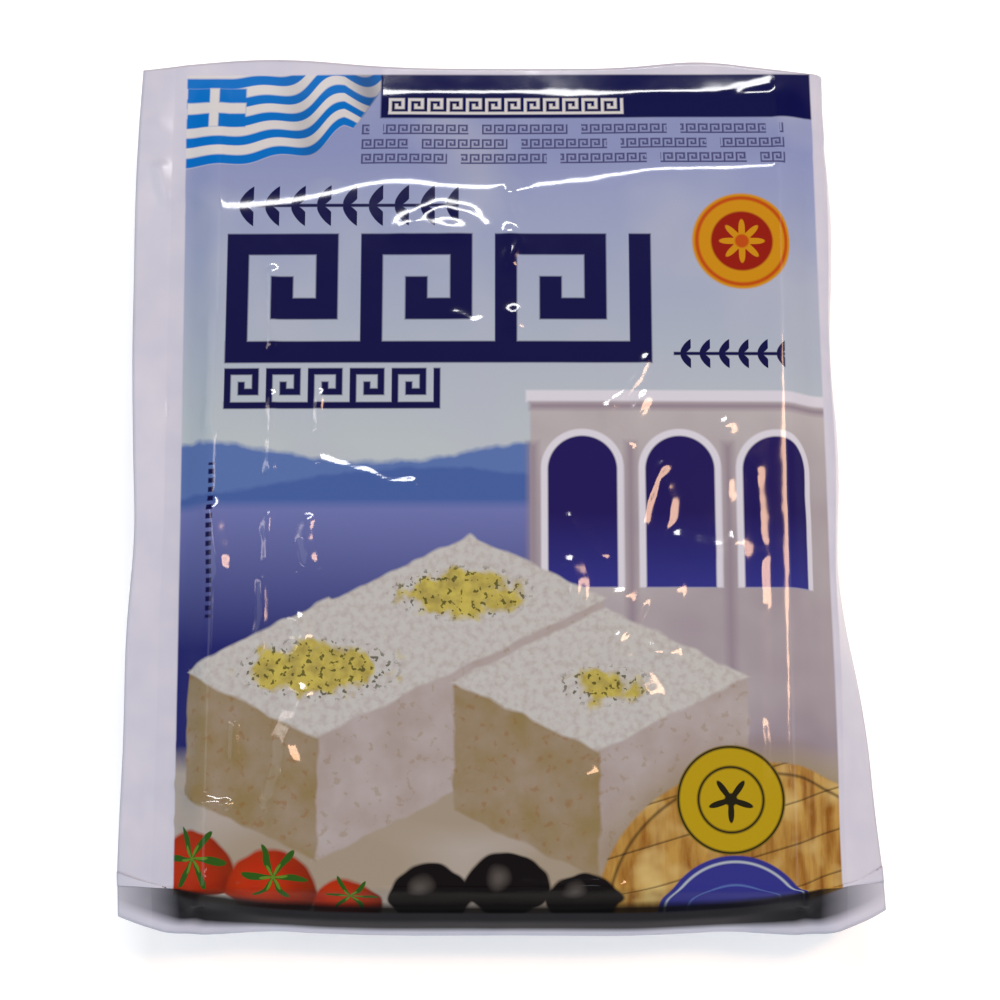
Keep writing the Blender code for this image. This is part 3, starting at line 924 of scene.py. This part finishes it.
def paint_board(pen):
    """A round board at the bottom right, and round fruit along the bottom."""
    along = pen.node("ShaderNodeVectorMath")
    along.operation = "MULTIPLY"
    along.inputs[1].default_value = GRAIN_STRETCH
    pen.link(pen.place, along.inputs[0])
    grain = pen.noise_node(2.0, 4.0, along.outputs[0])
    planks = pen.blend(pen.share(grain.outputs["Fac"], 0.35, 0.72), BOARD, BOARD_GRAIN)
    planks = pen.blend(pen.share(pen.mottle(8.0), 0.5, 0.8), planks, BOARD_LIGHT)
    away = pen.away(*BOARD_MIDDLE, stretch=BOARD_STRETCH)
    board = pen.within(away, BOARD_RADIUS, 0.6)
    cast = pen.times(pen.share(away, BOARD_RADIUS + BOARD_SHADOW, BOARD_RADIUS - 1.0), 0.7)
    pen.fill(cast, CHEESE_LEFT)
    pen.fill(board, planks)
    rim = pen.ring(away, BOARD_RADIUS - BOARD_RIM, 0.5, blur=0.6)
    pen.fill(pen.times(rim, 0.8), BOARD_LINE)
    plank = pen.repeated(pen.line(-0.3, 1.0, 3.0), PLANK_WIDTH)
    joint = pen.span(plank, 0.0, JOINT_WIDTH)
    pen.fill(pen.both(board, pen.times(pen.inside(joint, 0.4), 0.7)), BOARD_LINE)

    loose = pen.wobbled(0.4, 6.0)
    loose.colour = pen.colour
    skin = pen.mottle(5.0, 2.0)
    for x, y, radius in TOMATOES:
        rim = pen.share(loose.away(x - 1.6, y + 2.4), radius * 0.35, radius * 1.25)
        red = pen.blend(rim, TOMATO, TOMATO_SHADE)
        red = pen.blend(pen.times(skin, 0.35), red, ORANGE)
        loose.fill(loose.disc(x, y, radius, blur=0.7), red)
        stalk = (x + 0.8, y + radius * 0.4)
        for core, reach, turn, green in CALYX:
            leaves = star(loose, *stalk, radius * core, radius * reach, 6, turn, pointed=True)
            loose.fill(leaves, green)
    for x, y, radius in OLIVES:
        loose.fill(loose.disc(x, y, radius, stretch=1.15, blur=0.6), OLIVE)
        shine = pen.times(loose.disc(x - 1.6, y + 2.6, radius * 0.2, blur=2.2), 0.2)
        loose.fill(shine, TABLE)
    pen.colour = loose.colour


# The meander's bars, in steps of its width: from and to across, then from and to up.
MEANDER_HIGH, MEANDER_LONG = 6, 6
MEANDER_BARS = (
    (-1, 7, 0, 1),
    (0, 1, 0, 6),
    (0, 5, 5, 6),
    (4, 5, 2, 6),
    (2, 5, 2, 3),
    (2, 3, 2, 4),
)


def meander(pen, left, low, step, units, blur=0.2, up=None):
    """A running Greek key: six steps high, in units six steps long."""
    length = MEANDER_LONG * step
    across = pen.repeated(pen.less(pen.x, left), length)
    up = pen.less(up or pen.y, low)
    nearest = None
    for start, end, foot, head in MEANDER_BARS:
        wide = pen.span(across, start * step, end * step)
        bar = pen.math("MAXIMUM", wide, pen.span(up, foot * step, head * step))
        nearest = bar if nearest is None else pen.math("MINIMUM", nearest, bar)
    field = pen.span(pen.x, left, left + units * length + step)
    return pen.inside(pen.math("MAXIMUM", nearest, field), blur)


def sprig(pen, left, middle, cell, count, leaf):
    """A straight twig with a pair of leaves in each cell."""
    across = pen.less(pen.repeated(pen.less(pen.x, left), cell), cell * 0.5)
    up = pen.math("ABSOLUTE", pen.less(pen.y, middle))
    out = pen.scaled(across, 0.64, pen.scaled(up, 0.77, -leaf * 0.5))
    side = pen.scaled(across, 0.77, pen.times(up, -0.64))
    square = pen.scaled(out, out, pen.times(pen.times(side, side), 7.0))
    blade = pen.less(pen.math("SQRT", square), leaf * 0.52)
    twig = pen.math("MINIMUM", blade, pen.less(up, 0.32))
    field = pen.span(pen.x, left + 0.4, left + cell * count - 0.4)
    return pen.inside(pen.math("MAXIMUM", twig, field), 0.2)


def words(pen, left, right, low, high, row, height):
    """Rows of small keys from low to high, with gaps that fall elsewhere in each row."""
    step = height / MEANDER_HIGH
    units = math.floor((right - left) / (MEANDER_LONG * step))
    from_low = pen.less(pen.y, low)
    up = pen.repeated(from_low, row)
    keys = meander(pen, left, 0.0, step, units, 0.3, up)
    shifted = pen.scaled(pen.less(from_low, up), WORD_SHIFT, pen.x)
    along = pen.repeated(pen.less(shifted, left), WORD_LENGTH)
    gaps = pen.inside(pen.span(along, 0.0, WORD_LENGTH - WORD_GAP), 0.2)
    return pen.both(keys, gaps, pen.inside(pen.span(pen.y, low, high), 0.2))


def paint_stripes(pen):
    """Blue and white stripes that wave across the top left corner."""
    wave = pen.math("SINE", pen.line(0.42, 0.12, 0.0))
    grow = pen.share(pen.x, *STRIPE_CALM)
    lifted = pen.scaled(pen.times(wave, grow), -STRIPE_SWAY, pen.y)
    lifted = pen.scaled(pen.times(grow, grow), -STRIPE_RISE, lifted)
    above = pen.less(lifted, STRIPE_LOW)
    stripe = pen.span(pen.repeated(above, STRIPE_STEP), 0.0, STRIPE_STEP / 2)
    across, down = 0.86, 0.5
    end = pen.line(across, -down, down * STRIPES_END[1] - across * STRIPES_END[0])
    cloth = pen.both(pen.share(above, -0.2, 0.2), pen.inside(end, 0.5))
    fold = pen.times(pen.share(wave, 1.0, -1.0), grow)
    pen.fill(cloth, WHITE)
    pen.fill(pen.both(cloth, pen.inside(stripe, 0.4)), STRIPE_BLUE)
    dark = pen.both(cloth, pen.times(pen.times(fold, fold), 0.55))
    pen.fill(dark, CLOTH_SHADE)
    left, low, right, high = FLAG_CORNER
    x, y, arm = (left + right) / 2, (low + high) / 2, CROSS_ARM
    pen.fill(pen.box(left, low, right, high), STRIPE_BLUE)
    cross = pen.either(pen.box(x - arm, low, x + arm, high), pen.box(left, y - arm, right, y + arm))
    pen.fill(cross, WHITE)


def paint_heading(pen):
    """The band along the top and the ornaments in place of the words."""
    paint_stripes(pen)
    pen.fill(pen.box(BAND_LEFT, BAND_LOW, 80.0, PANEL_TOP + 1), NAVY)
    pen.fill(meander(pen, *BAND_KEYS), WHITE)
    pen.fill(words(pen, *WORD_ROWS, WORD_ROW, WORD_HEIGHT), SMALL_INK)
    for keys in (HEAD_KEYS, LOW_KEYS):
        pen.fill(meander(pen, *keys), INK)
    for twig in (HIGH_SPRIG, RIGHT_SPRIG):
        pen.fill(sprig(pen, *twig), INK)


def paint_dots(pen):
    """A column of dots beside the left edge, in place of a line of small words."""
    dots = pen.inside(pen.span(pen.repeated(pen.y, DOT_STEP), 0.0, DOT_HEIGHT), 0.25)
    pen.fill(pen.both(dots, pen.box(*DOT_COLUMN, blur=0.25)), INK)


def paint_rosette(pen):
    """A plain orange disc with a flower in the middle."""
    x, y, radius = ROSETTE
    away = pen.away(x, y)
    pen.fill(pen.within(away, radius, 0.4), YELLOW)
    pen.fill(pen.ring(away, radius - 0.9, 0.7), ORANGE)
    pen.fill(pen.within(away, radius * 0.62, 0.4), RED)
    pen.fill(star(pen, x, y, radius * 0.32, 1.3, 8), YELLOW)
    pen.fill(pen.within(away, radius * 0.14, 0.4), ORANGE)


def paint_low_marks(pen):
    """A plain gold disc, and a blue half disc at the bottom edge."""
    x, y, radius = MEDAL
    away = pen.away(x, y)
    pen.fill(pen.within(away, radius, 0.3), GOLD)
    pen.fill(pen.ring(away, radius - 0.25, 0.5), GOLD_LINE)
    pen.fill(pen.ring(away, radius * 0.6, 0.5), GOLD_LINE)
    pen.fill(star(pen, x, y, radius * 0.12, 3.0, 5, math.pi / 2, pointed=True), GOLD_LINE)

    x, y, radius = CREST
    away = pen.away(x, y)
    pen.fill(pen.within(away, radius, 0.3), CREST_BLUE)
    pen.fill(pen.ring(away, radius - 1.1, 0.35), SKY_LOW)
    pen.fill(pen.ring(away, radius - 5.2, 0.3), FAR_HILL)


def frame_panel(pen):
    """Leaves milky film bare outside the printed panel."""
    leaning = pen.scaled(pen.y, PANEL_LEAN, pen.x)
    panel = pen.box(PANEL_LEFT, PANEL_BOTTOM, PANEL_RIGHT, PANEL_TOP, x=leaning, blur=0.35)
    pen.fill(pen.less(1.0, panel), milky(pen))


def milky(pen, size=7.0):
    """Milky film, which is a little brighter in places of about the given size."""
    return pen.blend(pen.mottle(size), FILM_MILK, PACK_WHITE)


def paint_milky(pen):
    pen.colour = milky(pen)


def paint_bottom_shade(pen):
    """Painted shade on the turned-down bottom edge and painted shadow on the margin below it, fading out
    in the corners.
    """
    beside = pen.math("ABSOLUTE", pen.x)
    below = pen.share(pen.y, FACE_LOW, FACE_LOW - DARK_EASE)
    dark = pen.both(below, pen.share(pen.y, *DARK_LOW))
    dark = pen.times(dark, pen.share(beside, *DARK_CORNER))
    # Lays painted shade and shadow over the print and the milky margin.
    pen.fill(pen.times(dark, 0.97), BOTTOM_PAINTED_SHADE)


def layered(tree, *layers):
    """The colour that several painters give in turn."""
    pen = flat_pen(tree)
    for layer in layers:
        layer(pen)
    return pen.colour


def paint_upper_front(tree):
    """The front above the bay: the heading on the sky, and milky film round it."""
    return layered(tree, paint_sky, paint_heading, paint_rosette, frame_panel)


def paint_lower_front(tree):
    """The picture of the bay and its food, milky film round it and painted shade at the bottom edge."""
    food = (paint_dice, paint_board)
    marks = (paint_dots, paint_low_marks)
    return layered(tree, paint_sky, paint_sea, paint_arcade, *food, *marks, frame_panel, paint_bottom_shade)


def paint_margin(tree):
    """The clear welded margins beside the print, with painted shadow near the bottom."""
    return layered(tree, paint_milky, paint_bottom_shade)


def paint_pouch_back(tree):
    """The back: milky film with a bare ruled panel under a dark strip."""
    pen = flat_pen(tree)
    pen.colour = milky(pen, 9.0)
    left, low, right, high = BACK_PANEL
    pen.fill(pen.box(left, low, right, high, blur=0.3), NAVY)
    edge, head = PANEL_EDGE, PANEL_HEAD
    pen.fill(pen.box(left + edge, low + edge, right - edge, high - head, blur=0.3), WHITE)
    pen.fill(meander(pen, *PANEL_KEYS), WHITE)
    rule = pen.span(pen.repeated(pen.y, RULE_STEP), 0.0, RULE_WIDTH)
    for field in RULED_FIELDS:
        pen.fill(pen.both(pen.box(*field), pen.inside(rule, 0.3)), FAR_HILL)
    pen.fill(pen.box(*PLAIN_FIELD), SKY_LOW)
    return pen.colour


def new_material(name):
    material = bpy.data.materials.new(name)
    material.use_nodes = True
    return material, material.node_tree, material.node_tree.nodes["Principled BSDF"]


def film(name, painter, roughness, gloss):
    """A film whose colour comes from a painter. A rougher one has a softer gloss."""
    material, tree, shader = new_material(name)
    tree.links.new(painter(tree), shader.inputs["Base Color"])
    shader.inputs["Roughness"].default_value = roughness
    shader.inputs["IOR"].default_value = 1.5
    shader.inputs["Specular IOR Level"].default_value = gloss
    return material


# Name, painter, roughness and gloss of each film, in the order of the mesh's materials.
FILMS = (
    ("upper_film", paint_upper_front, 0.09, 0.38),
    ("lower_film", paint_lower_front, 0.09, 0.38),
    ("upper_turned_film", paint_upper_front, 0.4, 0.05),
    ("lower_turned_film", paint_lower_front, 0.4, 0.05),
    ("margin_film", paint_margin, 0.28, 0.38),
    ("back_film", paint_pouch_back, 0.16, 0.4),
)


def add_object(name, data):
    obj = bpy.data.objects.new(name, data)
    bpy.context.scene.collection.objects.link(obj)
    return obj


def make_pouch():
    mesh = film_mesh()
    pouch = add_object("pouch_film", mesh)
    for row in FILMS:
        mesh.materials.append(film(*row))
    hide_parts("pouch")
    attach(pouch, "root")


# The floor, and the light from all round.
FLOOR_HALF, FLOOR_ALBEDO, FLOOR_GLOW = 4.0, 0.92, 0.2
WORLD_STRENGTH = 0.18


def make_floor():
    half = FLOOR_HALF
    mesh = bpy.data.meshes.new("floor")
    corners = [(-half, -half, 0), (half, -half, 0), (half, half, 0), (-half, half, 0)]
    mesh.from_pydata(corners, [], [(0, 1, 2, 3)])
    floor = add_object("floor", mesh)
    material, _, shader = new_material("floor")
    shader.inputs["Base Color"].default_value = (*[FLOOR_ALBEDO] * 3, 1)
    shader.inputs["Roughness"].default_value = 0.9
    shader.inputs["Emission Color"].default_value = (1, 1, 1, 1)
    shader.inputs["Emission Strength"].default_value = FLOOR_GLOW
    mesh.materials.append(material)


def aim(obj, target):
    obj.rotation_euler = (Vector(target) - obj.location).to_track_quat("-Z", "Y").to_euler()


def add_light(name, place, size, power, colour=(1, 1, 1)):
    data = bpy.data.lights.new(name, "AREA")
    data.shape = "RECTANGLE"
    data.size, data.size_y = size
    data.energy = power
    data.color = colour
    lamp = add_object(name, data)
    lamp.location = place
    aim(lamp, (0, 0, 10 * MM))


def make_lights():
    cool = (0.93, 0.97, 1.0)
    add_light("window", (-0.03, 0.48, 0.82), (0.40, 0.085), 3.7)
    add_light("warm_lamp", (0.37, 0.15, 0.80), (0.13, 0.30), 3.2, (1.0, 0.60, 0.38))
    add_light("left_lamp", (-0.45, 0.18, 0.76), (0.05, 0.30), 0.4, (1.0, 0.84, 0.80))
    add_light("left_fill", (-1.05, -0.1, 0.62), (1.2, 1.4), 6.2, cool)
    add_light("right_fill", (1.05, -0.1, 0.62), (1.2, 1.4), 6.2, cool)
    add_light("low_fill", (0.0, -1.1, 0.7), (1.4, 1.0), 7.3, cool)
    world = bpy.data.worlds.new("studio")
    world.use_nodes = True
    background = world.node_tree.nodes["Background"]
    background.inputs["Color"].default_value = (0.95, 0.97, 1.0, 1)
    background.inputs["Strength"].default_value = WORLD_STRENGTH
    bpy.context.scene.world = world


def make_camera():
    data = bpy.data.cameras.new("camera")
    data.sensor_width = SENSOR
    data.lens = SENSOR * CAMERA_DISTANCE / VIEW_SPAN
    data.clip_start = 0.01
    camera = add_object("camera", data)
    back = Vector((0, -math.sin(CAMERA_TILT), math.cos(CAMERA_TILT)))
    camera.location = CAMERA_TARGET + back * CAMERA_DISTANCE
    aim(camera, CAMERA_TARGET)
    bpy.context.scene.camera = camera


make_camera()
make_pouch()
make_floor()
make_lights()
bpy.context.scene.view_settings.view_transform = "Standard"
